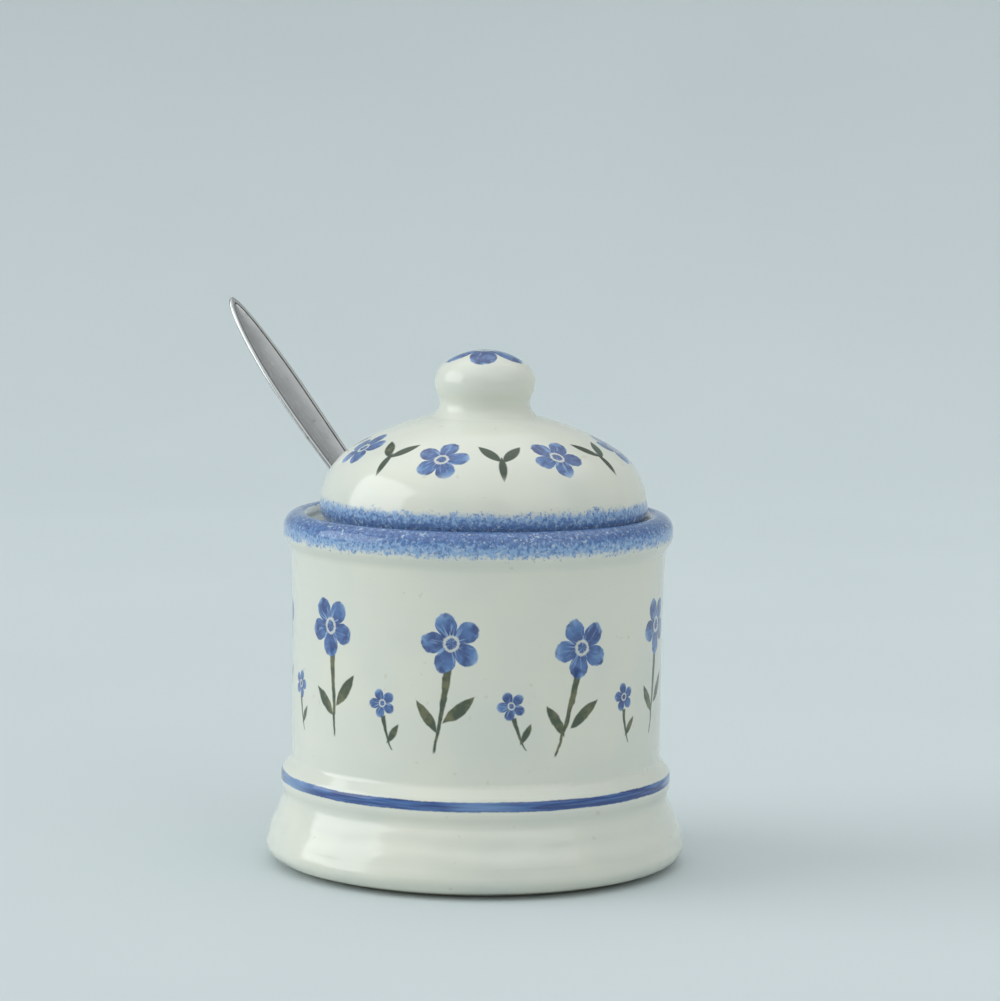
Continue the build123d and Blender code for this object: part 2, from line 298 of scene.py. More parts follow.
def paint_green(g, colour, mask, wash, dark=GREEN_DARK):
    """Lays green brush strokes, olive to dark, over a colour."""
    green = g.mix(g.fade(wash, *GREEN_WASH), GREEN_OLIVE, dark)
    return g.mix(g.mul(mask, GREEN_COVER), colour, green)


def sponge(g, colour, spot, cover, dark):
    """Dabs blue sponge stipple over a colour where a cover value is high, on a haze of pale blue."""
    fine = g.noise(spot, SPONGE_FINE, 2.0, SPONGE_ROUGH)
    broad = g.noise(spot, SPONGE_BROAD, 1.0)
    grain = g.add(g.mul(fine, FINE_SHARE), g.mul(broad, BROAD_SHARE))
    thin = g.mul(g.sub(1.0, cover), THIN_SHARE)
    mask = g.fade(g.sub(grain, thin), *GRAIN_EDGE)
    tone = g.mul(g.noise(spot, SPONGE_TONE, 2.0, SPONGE_ROUGH), TONE_SHARE)
    tone = g.add(tone, g.mul(dark, DARK_SHARE))
    blue = g.mix(g.fade(tone, *TONE_MID), BLUE_PALE, BLUE_MID)
    blue = g.mix(g.fade(tone, *TONE_DARK), blue, BLUE_DARK)
    haze = g.mul(g.fade(cover, *HAZE_COVER), HAZE_SHARE)
    return g.mix(g.mul(mask, SPONGE_COVER), g.mix(haze, colour, BLUE_PALE), blue)


# Glaze: sizes in millimetres, noise scales in waves per millimetre, and heights as shares of the bump
GLAZE_IOR = 1.52
GLAZE_ROUGH, GLAZE_ROUGH_MORE, BARE_ROUGH_MORE = 0.07, 0.08, 0.6
CLOUD_SCALE, CLOUD_EDGE = 0.045, (0.35, 0.65)
SPECK_SCALE, SPECK_EDGE, SPECK_SHARE = 0.55, (0.80, 0.86), 0.35
UNEVEN_SCALE, THROW_SCALE, WAVE_SCALE, GRAIN_SCALE = 0.11, 0.30, 0.10, 3.0
RIPPLE_PITCH, RIPPLE_DRIFT, DRIFT_SCALE = 4.6, 5.0, 0.05
RIPPLE_TOP = (13.0, 17.0)
THROW_HEIGHT, RIPPLE_HEIGHT, WAVE_HEIGHT, GRAIN_HEIGHT = 0.51, 0.6375, 1.5, 0.3
GLAZE_BUMP = 0.16


def cream_glaze(g, x, y, z):
    """Cream glaze with slow changes of tone and a few faint specks."""
    spot = g.vector(x, y, z)
    cloud = g.noise(spot, CLOUD_SCALE)
    colour = g.mix(g.fade(cloud, *CLOUD_EDGE), CREAM, CREAM_COOL)
    speck = g.fade(g.noise(spot, SPECK_SCALE, 0.0), *SPECK_EDGE)
    return spot, g.mix(g.mul(speck, SPECK_SHARE), colour, CLAY)


def glaze_surface(g, spot, z, colour, bare):
    """Sets a glossy glaze with throwing rings, ripples on the foot and soft waves, or bare clay."""
    g.feed(g.shader.inputs["Base Color"], g.mix(bare, colour, CLAY))
    uneven = g.mul(g.noise(spot, UNEVEN_SCALE), GLAZE_ROUGH_MORE)
    g.feed(g.shader.inputs["Roughness"], g.add(GLAZE_ROUGH, uneven, g.mul(bare, BARE_ROUGH_MORE)))
    g.shader.inputs["IOR"].default_value = GLAZE_IOR
    foot = g.unfade(z, *RIPPLE_TOP)
    drift = g.mul(g.noise(spot, DRIFT_SCALE, 1.0), RIPPLE_DRIFT)
    ripple = g.op("SINE", g.add(g.mul(z, 2 * math.pi / RIPPLE_PITCH), drift))
    rings = g.noise(g.vector(0.0, 0.0, z), THROW_SCALE, 1.0)
    wave = g.mul(g.noise(spot, WAVE_SCALE, 1.0), g.add(1.0, foot))
    grain = g.mul(g.noise(spot, GRAIN_SCALE), bare)
    height = g.add(g.mul(rings, THROW_HEIGHT), g.mul(ripple, foot, RIPPLE_HEIGHT),
                   g.mul(wave, WAVE_HEIGHT), g.mul(grain, GRAIN_HEIGHT))
    g.bump(height, GLAZE_BUMP)


# Unsteady hand: noise scales in waves per millimetre, and the wash of the paint
WOBBLE_SCALE, SWAY_SCALE = 0.35, 0.31
POT_WASH, LID_WASH, WASH_DETAIL, WASH_ROUGH = 0.30, 0.33, 3.0, 0.6

# Pot paint, in millimetres and radians; a leaf is its middle, angle, half length and half width
WALL_RADIUS = 40.7
WALL_OUTSIDE = (39.4, 40.0)
SPRIG_COUNT, SPRIG_PHASE, BUD_PHASE = 9, 0.22, 0.72
SPRIG_HEIGHT, SPRIG_TILT, SPRIG_LIFT, SPRIG_BEND = 45.5, 0.36, 3.0, 6.0
SPRIG_LIFT_SEED, SPRIG_TILT_SEED, SPRIG_BEND_SEED, SPRIG_TURN_SEED = 7.1, 0.3, 4.4, 1.9
SPRIG_WOBBLE, SPRIG_SWAY, BUD_WOBBLE = 0.9, 0.9, 0.7
STALK_TOP, STALK_FOOT, STALK_HALF = 4.0, -15.0, 0.95
SPRIG_LEAF_RIGHT = ((3.4, -5.2), 0.85, 4.6, 1.35)
SPRIG_LEAF_LEFT = ((-3.2, -7.6), 2.30, 4.2, 1.25)
SPRIG_HEAD, SPRIG_HEAD_SIZE = 8.6, 6.6
BUD_HEIGHT, BUD_LIFT, BUD_TILT = 37.5, 2.4, 0.7
BUD_LIFT_SEED, BUD_TILT_SEED, BUD_TURN_SEED = 2.6, 5.2, 8.8
TWIG_TOP, TWIG_FOOT, TWIG_HALF, TWIG_BEND = -1.0, -8.5, 0.6, 1.4
BUD_LEAF = ((1.9, -5.0), 0.9, 2.6, 0.8)
BUD_HEAD, BUD_HEAD_SIZE = 1.6, 3.2
LINE_HEIGHT, LINE_DRIFT = 19.6, 0.9
LINE_HALF, LINE_HALF_MORE, LINE_RAGGED = 0.80, 0.62, 0.25
LINE_EDGE, LINE_COVER = (-0.10, 0.16), 0.96
LINE_TONE, LINE_THIN, LINE_THIN_SHARE, LINE_THIN_LEAST = (0.40, 0.66), (0.46, 0.62), 0.60, 0.4
RIM_SPONGE_EDGE, RIM_SPONGE_INNER = (69.4, 74.5), (37.5, 38.7)
RIM_DARK = (73.8, 76.4)
RIM_SWAY, RIM_SWAY_SCALE = 1.2, 0.22
BARE_FOOT_TOP, BARE_FOOT_INNER = (0.15, 0.55), (33.2, 33.8)

# Brush along the line: the first row in waves per radian around the pot, the others per millimetre
LINE_DRIFT_SCALE, LINE_WIDTH_SCALE, LINE_THIN_SCALE = 1.3, 2.2, 1.7
LINE_RAGGED_SCALE = 0.9
BRUSH_ALONG, BRUSH_UP = 0.10, 1.6


def paint_sprigs(g, colour, spot, z, angle, wobble, wash, outside):
    """Row of tall flowers with stalks and leaves, each a little different."""
    number, within = cells(g, angle, SPRIG_COUNT, SPRIG_PHASE)
    lift = g.spread(number, SPRIG_LIFT_SEED, SPRIG_LIFT)
    px = g.add(g.mul(within, WALL_RADIUS), g.mul(wobble, SPRIG_WOBBLE))
    py = g.add(g.sub(z, SPRIG_HEIGHT), g.sway(spot, SWAY_SCALE, SPRIG_SWAY), lift)
    px, py = turned(g, px, py, g.spread(number, SPRIG_TILT_SEED, SPRIG_TILT))
    bend = g.spread(number, SPRIG_BEND_SEED, SPRIG_BEND)
    stalk = stem(g, px, py, STALK_TOP, STALK_FOOT, STALK_HALF, bend)
    leaves = g.most(leaf(g, px, py, *SPRIG_LEAF_RIGHT), leaf(g, px, py, *SPRIG_LEAF_LEFT))
    colour = paint_green(g, colour, g.mul(g.most(stalk, leaves), outside), wash)
    turn = g.mul(g.chance(number, SPRIG_TURN_SEED), PETAL_TURN)
    flower = blossom(g, px, g.sub(py, SPRIG_HEAD), SPRIG_HEAD_SIZE, turn)
    return paint_flower(g, colour, flower, outside, wash)


def paint_buds(g, colour, z, angle, wobble, wash, outside):
    """Small flowers between the tall ones."""
    number, within = cells(g, angle, SPRIG_COUNT, BUD_PHASE)
    px = g.add(g.mul(within, WALL_RADIUS), g.mul(wobble, BUD_WOBBLE))
    py = g.sub(z, g.add(BUD_HEIGHT, g.mul(g.chance(number, BUD_LIFT_SEED), BUD_LIFT)))
    px, py = turned(g, px, py, g.spread(number, BUD_TILT_SEED, BUD_TILT))
    twig = stem(g, px, py, TWIG_TOP, TWIG_FOOT, TWIG_HALF, TWIG_BEND)
    twig = g.most(twig, leaf(g, px, py, *BUD_LEAF))
    colour = paint_green(g, colour, g.mul(twig, outside), wash)
    turn = g.mul(g.chance(number, BUD_TURN_SEED), PETAL_TURN)
    flower = blossom(g, px, g.sub(py, BUD_HEAD), BUD_HEAD_SIZE, turn)
    return paint_flower(g, colour, flower, outside, wash)


def paint_line(g, colour, spot, place, angle, outside):
    """Brushed line on the bead, uneven in height, width and strength."""
    x, y, z = place
    bearing = g.vector(g.op("SINE", angle), g.op("COSINE", angle), 0.0)
    drift = g.sway(bearing, LINE_DRIFT_SCALE, LINE_DRIFT)
    half = g.add(LINE_HALF, g.mul(g.noise(bearing, LINE_WIDTH_SCALE), LINE_HALF_MORE))
    off = g.op("ABSOLUTE", g.sub(z, g.add(LINE_HEIGHT, drift)))
    ragged = g.sway(spot, LINE_RAGGED_SCALE, LINE_RAGGED)
    line = g.fade(g.add(g.sub(half, off), ragged), *LINE_EDGE)
    brushed = g.vector(g.mul(x, BRUSH_ALONG), g.mul(y, BRUSH_ALONG), g.mul(z, BRUSH_UP))
    tone = g.noise(brushed, 1.0)
    blue = g.mix(g.fade(tone, *LINE_TONE), BLUE_DARK, BLUE_MID)
    thinned = g.mul(g.fade(g.noise(bearing, LINE_THIN_SCALE, 1.0), *LINE_THIN), LINE_THIN_SHARE)
    blue = g.mix(g.mul(thinned, g.add(LINE_THIN_LEAST, tone)), blue, BLUE_PALE)
    return g.mix(g.mul(line, outside, LINE_COVER), colour, blue)


def pot_material():
    """Cream pot with a sponged rim, a painted line on its bead and a row of upright flowers."""
    g = Graph("pot_glaze_paint")
    x, y, z = g.place()
    radius, angle = g.around(x, y)
    spot, colour = cream_glaze(g, x, y, z)
    outside = g.fade(radius, *WALL_OUTSIDE)
    wobble = g.sway(spot, WOBBLE_SCALE, 1.0)
    wash = g.noise(spot, POT_WASH, WASH_DETAIL, WASH_ROUGH)
    colour = paint_sprigs(g, colour, spot, z, angle, wobble, wash, outside)
    colour = paint_buds(g, colour, z, angle, wobble, wash, outside)
    colour = paint_line(g, colour, spot, (x, y, z), angle, outside)
    edge = g.add(z, g.sway(spot, RIM_SWAY_SCALE, RIM_SWAY, 1.0))
    cover = g.mul(g.fade(edge, *RIM_SPONGE_EDGE), g.fade(radius, *RIM_SPONGE_INNER))
    colour = sponge(g, colour, spot, cover, g.fade(z, *RIM_DARK))
    bare = g.mul(g.unfade(z, *BARE_FOOT_TOP), g.fade(radius, *BARE_FOOT_INNER))
    glaze_surface(g, spot, z, colour, bare)
    return g.material


# Lid paint, in millimetres and radians
LID_AXIS = (1.115, -0.846)
LID_FLOWERS, LID_FLOWER_PHASE, LID_LEAF_PHASE = 7, 0.35, 0.85
LID_FLOWER_SIZE, LID_FLOWER_LIFT = 6.0, 1.6
LID_LIFT_SEED, LID_TURN_SEED = 3.3, 6.1
LID_WOBBLE, LID_SWAY, LID_LEAF_DARKER = 0.8, 0.8, 0.14
LID_RING_RADIUS, LID_RING_HEIGHT, LID_SLOPE = 28.5, 92.3, 0.72
LID_LEAVES = (
    ((-2.3, 1.5), 2.25, 3.6, 1.3),
    ((2.3, 1.3), 0.9, 3.6, 1.3),
    ((0.0, -3.2), 1.57, 3.8, 0.95),
)
DOME_FOOT, DOME_TOP = (82.0, 83.0), (100.5, 101.5)
DOME_FLARE, DOME_OUTSIDE = 0.62, (107.4, 109.0)
KNOB_PAINT = (108.65, 109.25)
KNOB_FLOWER_SIZE, KNOB_FLOWER_TURN = 8.6, 0.4
LID_SPONGE_EDGE, LID_SPONGE_INNER = (79.0, 83.6), (32.4, 33.2)
LID_DARK = (77.2, 80.2)
LID_EDGE_SWAY, LID_EDGE_SWAY_SCALE = 1.6, 0.25
LID_BARE = (74.75, 75.0)


def lid_material():
    """Cream lid with a sponged edge, a ring of flowers and leaves, and a flower on the knob."""
    g = Graph("lid_glaze_paint")
    x, y, z = g.place(LID_AXIS)
    radius, angle = g.around(x, y)
    spot, colour = cream_glaze(g, x, y, z)
    wobble = g.sway(spot, WOBBLE_SCALE, 1.0)
    wash = g.noise(spot, LID_WASH, WASH_DETAIL, WASH_ROUGH)
    outer = g.fade(g.add(g.mul(radius, DOME_FLARE), z), *DOME_OUTSIDE)
    dome = g.mul(g.fade(z, *DOME_FOOT), g.unfade(z, *DOME_TOP), outer)

    # Ring of flowers on the shoulder, with a sprig of leaves between each two
    rise = g.mul(g.add(g.sub(LID_RING_RADIUS, radius), g.sub(z, LID_RING_HEIGHT)), LID_SLOPE)
    within = cells(g, angle, LID_FLOWERS, LID_LEAF_PHASE)[1]
    lx = g.mul(within, radius)
    leaves = g.most(*(leaf(g, lx, rise, *blade) for blade in LID_LEAVES))
    darker_wash = g.add(wash, LID_LEAF_DARKER)
    colour = paint_green(g, colour, g.mul(leaves, dome), darker_wash, GREEN_DEEP)
    number, within = cells(g, angle, LID_FLOWERS, LID_FLOWER_PHASE)
    lift = g.spread(number, LID_LIFT_SEED, LID_FLOWER_LIFT)
    px = g.add(g.mul(within, radius), g.mul(wobble, LID_WOBBLE))
    py = g.add(rise, g.sway(spot, SWAY_SCALE, LID_SWAY), lift)
    turn = g.mul(g.chance(number, LID_TURN_SEED), PETAL_TURN)
    flower = blossom(g, px, py, LID_FLOWER_SIZE, turn)
    colour = paint_flower(g, colour, flower, dome, wash)

    # Flower on top of the knob
    knob_x = g.add(x, g.mul(wobble, LID_WOBBLE))
    flower = blossom(g, knob_x, y, KNOB_FLOWER_SIZE, KNOB_FLOWER_TURN)
    colour = paint_flower(g, colour, flower, g.fade(z, *KNOB_PAINT), wash)

    # Sponged lower edge, fading upward
    edge = g.add(z, g.sway(spot, LID_EDGE_SWAY_SCALE, LID_EDGE_SWAY, 1.0))
    cover = g.mul(g.unfade(edge, *LID_SPONGE_EDGE), g.fade(radius, *LID_SPONGE_INNER))
    colour = sponge(g, colour, spot, cover, g.unfade(z, *LID_DARK))
    glaze_surface(g, spot, z, colour, g.unfade(z, *LID_BARE))
    return g.material


# Steel: noise scales in waves per millimetre, and the steps at which each mark shows
STREAK_SCALE, STREAK_DETAIL, STREAK_GRAIN = 4.0, 3.0, 0.6
SMUDGE_SCALE, SMUDGE_DETAIL = 0.16, 3.0
SMUDGE_TONE, SMUDGE_DULL = (0.35, 0.70), (0.5, 0.8)
SCRATCH_SCALE, SCRATCH_EDGE, SCRATCH_HEIGHT = 9.0, (0.66, 0.74), -0.8
STAIN_SCALE, STAIN_EDGE, STAIN_SHARE = 0.62, (0.70, 0.78), 0.55
STEEL_ROUGH, STREAK_ROUGH, SMUDGE_ROUGH, SCRATCH_ROUGH = 0.11, 0.10, 0.10, 0.12
STEEL_BUMP = 0.006
# Groove around the panel: one patchy dark colour for grime and painted shade in the recess
GROOVE_GRIME_AND_SHADE_SCALE, GROOVE_GRIME_AND_SHADE_EDGE, GROOVE_GRIME_ROUGH = 0.8, (0.3, 0.7), 0.45

# Share of the position along the spoon that is taken away, so that streaks and scratches run long
STREAK_STRETCH = 0.96


def steel_material(along):
    """Polished steel with fine streaks along the spoon, small scratches and dull stains."""
    g = Graph("spoon_polished_steel")
    place = g.place()
    spot = g.vector(*place)
    run = g.add(*(g.mul(value, share) for value, share in zip(place, along)))
    stretched = g.vector(*(g.sub(value, g.mul(run, share * STREAK_STRETCH))
                           for value, share in zip(place, along)))
    streak = g.noise(stretched, STREAK_SCALE, STREAK_DETAIL, STREAK_GRAIN)
    smudge = g.noise(spot, SMUDGE_SCALE, SMUDGE_DETAIL)
    scratch = g.fade(g.noise(stretched, SCRATCH_SCALE, 1.0), *SCRATCH_EDGE)
    stain = g.fade(g.noise(spot, STAIN_SCALE, 1.0), *STAIN_EDGE)
    colour = g.mix(g.fade(smudge, *SMUDGE_TONE), STEEL, STEEL_SMUDGED)
    g.feed(g.shader.inputs["Base Color"], g.mix(g.mul(stain, STAIN_SHARE), colour, STEEL_STAINED))
    g.shader.inputs["Metallic"].default_value = 1.0
    rough = g.add(STEEL_ROUGH, g.mul(streak, STREAK_ROUGH),
                  g.mul(g.fade(smudge, *SMUDGE_DULL), SMUDGE_ROUGH), g.mul(scratch, SCRATCH_ROUGH))
    g.feed(g.shader.inputs["Roughness"], rough)
    g.bump(g.add(streak, g.mul(scratch, SCRATCH_HEIGHT)), STEEL_BUMP)
    return g.material


def groove_grime_and_shade_material():
    """Dark, dull steel in the corner around the handle's sunk panel: grime together with painted shade in
    the groove.
    """
    g = Graph("spoon_groove_grime_and_shade")
    patchy = g.fade(g.noise(g.vector(*g.place()), GROOVE_GRIME_AND_SHADE_SCALE), *GROOVE_GRIME_AND_SHADE_EDGE)
    g.feed(g.shader.inputs["Base Color"], g.mix(patchy, GROOVE_GRIME_AND_SHADE_DARK, GROOVE_GRIME_AND_SHADE_PALE))
    g.shader.inputs["Metallic"].default_value = 1.0
    g.shader.inputs["Roughness"].default_value = GROOVE_GRIME_ROUGH
    return g.material


# Spoon in millimetres, as in the solid, laid flat: x from the bowl's tip, y across, z to the open side
SPOON_LENGTH = 153.0
BOWL_LENGTH = 44.0
BOWL_WIDTH = 27.0
BOWL_DEPTH = 7.5
BOWL_THICKNESS = 1.2
HANDLE_TOP = 0.5
HEEL_START, NECK_X, WIDE_X = 41.0, 56.0, 126.0
HEEL_HALF, NECK_HALF, WIDE_HALF = 4.5, 2.2, 5.4
POINT_TAPER, POINT_BLUNT = 0.36, 0.60
BEND_START, BEND_RUN, BEND_RISE = 111.0, 43.6, 1.6
PANEL_START, PANEL_END, PANEL_DEPTH, BORDER = 79.0, 151.2, 0.3, 0.9
BALL = ((BOWL_WIDTH / 2) ** 2 + BOWL_DEPTH ** 2) / (2 * BOWL_DEPTH)
BALL_LONG = BALL * BOWL_LENGTH / BOWL_WIDTH
BALL_HEIGHT = HANDLE_TOP + BALL - BOWL_DEPTH
SPOON_LEAN = math.radians(44.328)
SPOON_AZIMUTH = math.radians(37.2)
TIP_OUT, TIP_HEIGHT = -33.181, 10.919

# Roundings that the visual spoon adds: rounded rim, step into the panel, tucked underside, blended heel
RIM_ROUND, RIM_ROUND_SHARE = 0.26, 0.2
PANEL_STEP, PANEL_STEP_SHARE = 0.16, 0.1
PANEL_RISE, PANEL_CROWN = 3.0, 0.4
TUCK, TUCK_SHARE = 0.36, 0.25
SIDE_DROP, SIDE_MIDDLE, SIDE_SLOPE = 0.10, 0.35, 0.6
UNDER_CROWN = 0.12
HEEL_FROM, HEEL_TO, HEEL_SOFT = 36.0, 50.0, 0.5
STICK_BLEND, UNDER_BLEND = 4.0, 2.0
DISH_END, DISH_BLEND = 42.0, 5.0
INNER_LEAST, INNER_MOST = 0.18, 0.93
BORDER_FULL_HALF = 3.0
LIP = 0.3
WEB_REACH, WEB_BLEND, WEB_RUN, WEB_SOFT = 1.2, 1.6, 3.0, 0.25
FLOOR_LINES = (0.8, 0.6, 0.4, 0.2)
BOWL_STEP, NECK_STEP, HANDLE_STEP = 2.05, 3.0, 3.3
HALVINGS = 40
HAIR = 1e-6

# Faces of a loop, counted from its left edge, that lie in the groove around the panel and take the grime and
# painted shade
GROOVE_FACES = (3, 4, 15, 16)
GROOVE_END_REACH = 0.11


def bezier_height(points, x):
    """Height of a cubic curve at an x, for curves that run steadily along x."""
    low, high = 0.0, 1.0
    for _ in range(HALVINGS):
        t = (low + high) / 2
        k = ((1 - t) ** 3, 3 * t * (1 - t) ** 2, 3 * t * t * (1 - t), t ** 3)
        if sum(w * p[0] for w, p in zip(k, points)) < x:
            low = t
        else:
            high = t
    return sum(w * p[1] for w, p in zip(k, points))


def handle_half(x, inset=0.0, end=SPOON_LENGTH):
    """Half width of the handle, or of its panel, at a distance from the bowl's tip."""
    if x < NECK_X:
        pull = (NECK_X - HEEL_START) / 2
        return bezier_height([(HEEL_START, HEEL_HALF), (HEEL_START + pull, NECK_HALF),
                              (NECK_X - pull, NECK_HALF), (NECK_X, NECK_HALF)], max(x, HEEL_START))
    if x < WIDE_X:
        pull = (WIDE_X - NECK_X) / 2
        return bezier_height([(NECK_X, NECK_HALF), (NECK_X + pull, NECK_HALF),
                              (WIDE_X - pull, WIDE_HALF), (WIDE_X, WIDE_HALF)], x) - inset
    wide = WIDE_HALF - inset
    return bezier_height([(WIDE_X, wide), (WIDE_X + (end - WIDE_X) * POINT_TAPER, wide),
                          (end, wide * POINT_BLUNT), (end, 0)], min(x, end))


def ball_cut(x, y, shrink):
    """Height of the bowl's round skin at a place, or None outside it."""
    part = (x - BOWL_LENGTH / 2) / (BALL_LONG - shrink)
    square = (BALL - shrink) ** 2 * (1 - part * part) - y * y
    return BALL_HEIGHT - math.sqrt(square) if square > 0 else None


def smooth(value):
    """Smooth step of a value kept within 0 and 1."""
    value = min(max(value, 0.0), 1.0)
    return value * value * (3 - 2 * value)


def spoon_halves(x):
    """Half widths at a distance from the bowl's tip: handle, outer edge, and dish or panel."""
    bowl_part = 1 - ((x - BOWL_LENGTH / 2) / (BOWL_LENGTH / 2)) ** 2
    bowl_half = BOWL_WIDTH / 2 * math.sqrt(bowl_part) if bowl_part > 0 else 0.0
    stick = handle_half(x) * smooth((x - HEEL_START + STICK_BLEND) / STICK_BLEND)
    if HEEL_FROM < x < HEEL_TO:
        half = (bowl_half + stick + math.sqrt((bowl_half - stick) ** 2 + HEEL_SOFT)) / 2
    else:
        half = max(bowl_half, stick)
    part = (x - BOWL_LENGTH / 2) / (BALL_LONG - BOWL_THICKNESS)
    scoop = (BALL - BOWL_THICKNESS) ** 2 * (1 - part ** 2) - (BALL_HEIGHT - HANDLE_TOP) ** 2
    scoop_half = math.sqrt(scoop) if scoop > 0 else 0.0
    if x > NECK_X:
        border_half = handle_half(x, BORDER, PANEL_END)
    else:
        border_half = half - BORDER * min(1.0, half / BORDER_FULL_HALF)
    blend = smooth((x - DISH_END) / DISH_BLEND)
    inner = max(INNER_LEAST * half, scoop_half * (1 - blend) + border_half * blend)
    return stick, half, min(inner, half * INNER_MOST)


def spoon_loop(x):
    """Closed loop of points around the spoon at a distance from the bowl's tip."""
    stick, half, inner = spoon_halves(x)
    bend = BEND_RISE * max(0.0, (x - BEND_START) / BEND_RUN) ** 2
    sunk = PANEL_DEPTH * smooth((x - PANEL_START) / PANEL_RISE) if x < PANEL_END else 0.0
    edge = min(RIM_ROUND, half * RIM_ROUND_SHARE)
    step = min(PANEL_STEP, inner * PANEL_STEP_SHARE)
    deepest = inner - step
    lines = [half - edge, (half - edge + inner) / 2, inner + step, inner, deepest, inner - 2 * step]
    lines += [deepest * share for share in FLOOR_LINES]

    def top(y):
        """Height of the open side."""
        skin = ball_cut(x, y, BOWL_THICKNESS)
        dish = min(HANDLE_TOP, skin) if skin is not None else HANDLE_TOP
        depth = sunk if abs(y) <= deepest + HAIR else 0.0
        return dish + bend - depth * (1 - PANEL_CROWN * (y / deepest) ** 2)

    def bottom(y):
        """Height of the underside."""
        flat = -HANDLE_TOP + bend + UNDER_CROWN * (y / half) ** 2
        if x > BOWL_LENGTH + UNDER_BLEND:
            return flat
        lip = HANDLE_TOP - LIP
        skin = ball_cut(x, y, 0.0)
        skin = HANDLE_TOP if skin is None else min(skin, HANDLE_TOP)
        if x < HEEL_START - STICK_BLEND:
            return min(skin, lip)
        web = smooth((stick + WEB_REACH - abs(y)) / WEB_BLEND)
        reach = web * smooth((x - HEEL_START + WEB_RUN) / WEB_RUN)
        flat = flat * reach + lip * (1 - reach)
        return min((skin + flat - math.sqrt((skin - flat) ** 2 + WEB_SOFT)) / 2, lip)

    tuck = min(TUCK, half * TUCK_SHARE)
    under = [half - tuck] + lines[1:]
    upper = [(x, y, top(y)) for y in both_sides(lines)]
    lower = [(x, y, bottom(y)) for y in reversed(both_sides(under))]
    side_top = top(half) - SIDE_DROP
    side_low = side_top * SIDE_MIDDLE + bottom(half - tuck) * (1 - SIDE_MIDDLE)
    slope = edge * SIDE_SLOPE
    right = [(x, slope - half, side_top), (x, -half, side_low)]
    left = [(x, half, side_low), (x, half - slope, side_top)]
    return upper + right + lower + left


def both_sides(values):
    """Values from one edge to the middle, the middle, and the same mirrored."""
    return values + [0.0] + [-value for value in reversed(values)]


def spoon_stations():
    """Distances from the bowl's tip, closer together where the shape turns."""
    tip = [0.12, 0.5, 1.1, 2.0, 3.2]
    bowl = [tip[-1] + BOWL_STEP * k for k in range(1, 18)]
    heel = [39.6, HEEL_START, 42.2, 43.2, 44.2, 45.4, 47.0, 49.0, 52.0, NECK_X]
    neck = [NECK_X + NECK_STEP * k for k in range(1, 8)]
    neck += [PANEL_START, PANEL_START + PANEL_RISE / 2, PANEL_START + PANEL_RISE]
    handle = [neck[-1] + HANDLE_STEP * k for k in range(1, 19)]
    point = [143.8, 145.8, 147.4, 148.8, 149.8, 150.5, 150.9, 151.1]
    end = [151.3, 151.6, 152.0, 152.35, 152.65, 152.85, 152.95]
    return tip + bowl + heel + neck + handle + point + end


def spoon_mesh():
    """Steel spoon with a dished bowl, a bordered handle and a curved end, where the solid stands."""
    stations = spoon_stations()
    loops = [spoon_loop(x) for x in stations]
    size = len(loops[0])
    gaps = len(loops) - 1
    faces = []
    for i in range(gaps):
        for j in range(size):
            k = (j + 1) % size
            faces.append((i * size + j, i * size + k, (i + 1) * size + k, (i + 1) * size + j))
    faces.append(tuple(reversed(range(size))))
    faces.append(tuple(gaps * size + j for j in range(size)))
    outward = Vector((-math.cos(SPOON_AZIMUTH), math.sin(SPOON_AZIMUTH), 0))
    along = outward * math.sin(SPOON_LEAN) + UP * math.cos(SPOON_LEAN)
    above = UP * math.sin(SPOON_LEAN) - outward * math.cos(SPOON_LEAN)
    beside = above.cross(along)
    start = outward * TIP_OUT + UP * TIP_HEIGHT
    placed = [(start + along * x + beside * y + above * z) * MM for loop in loops for x, y, z in loop]
    mesh = bpy.data.meshes.new("spoon_dressed")
    mesh.from_pydata([tuple(point) for point in placed], [], faces)
    mesh.materials.append(steel_material(along))
    mesh.materials.append(groove_grime_and_shade_material())
    for polygon in mesh.polygons:
        polygon.use_smooth = True
    # Faces in the groove take the second material: dark grime with painted shade
    for i in range(gaps):
        middle = (stations[i] + stations[i + 1]) / 2
        for j in range(size):
            beside_panel = j in GROOVE_FACES and PANEL_START + PANEL_RISE < middle < PANEL_END
            across_panel = GROOVE_FACES[0] <= j <= GROOVE_FACES[-1]
            if beside_panel or across_panel and abs(middle - PANEL_END) < GROOVE_END_REACH:
                mesh.polygons[i * size + j].material_index = 1
    mesh.validate()
    piece = bpy.data.objects.new("spoon_dressed", mesh)
    scene.collection.objects.link(piece)
    rounding = piece.modifiers.new("rounding", "SUBSURF")
    rounding.levels = 1
    rounding.render_levels = 1
    return piece


def dress(node, material):
    """Gives a solid's own mesh a new material."""
    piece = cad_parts[node]
    piece.data.materials.clear()
    piece.data.materials.append(material)


# Studio sizes in metres
STUDIO_WIDTH, STUDIO_FRONT, STUDIO_BACK = 2.4, -1.6, 1.3
STUDIO_BEND, STUDIO_HEIGHT, STUDIO_STEPS = 0.6, 0.85, 16

# Board finish: noise scales in waves per millimetre, bump in millimetres
BOARD_CLOUD_SCALE, BOARD_CLOUD_DETAIL, BOARD_CLOUD_EDGE = 0.006, 3.0, (0.3, 0.7)
BOARD_GRAIN_SCALE, BOARD_ROUGH, BOARD_BUMP = 1.2, 0.75, 0.03


def floor_material():
    """Plain pale grey-blue board with a faint cloudy tone."""
    g = Graph("studio_board")
    spot = g.vector(*g.place())
    cloud = g.fade(g.noise(spot, BOARD_CLOUD_SCALE, BOARD_CLOUD_DETAIL), *BOARD_CLOUD_EDGE)
    g.feed(g.shader.inputs["Base Color"], g.mix(cloud, BOARD, BOARD_PALE))
    g.shader.inputs["Roughness"].default_value = BOARD_ROUGH
    g.bump(g.noise(spot, BOARD_GRAIN_SCALE), BOARD_BUMP)
    return g.material


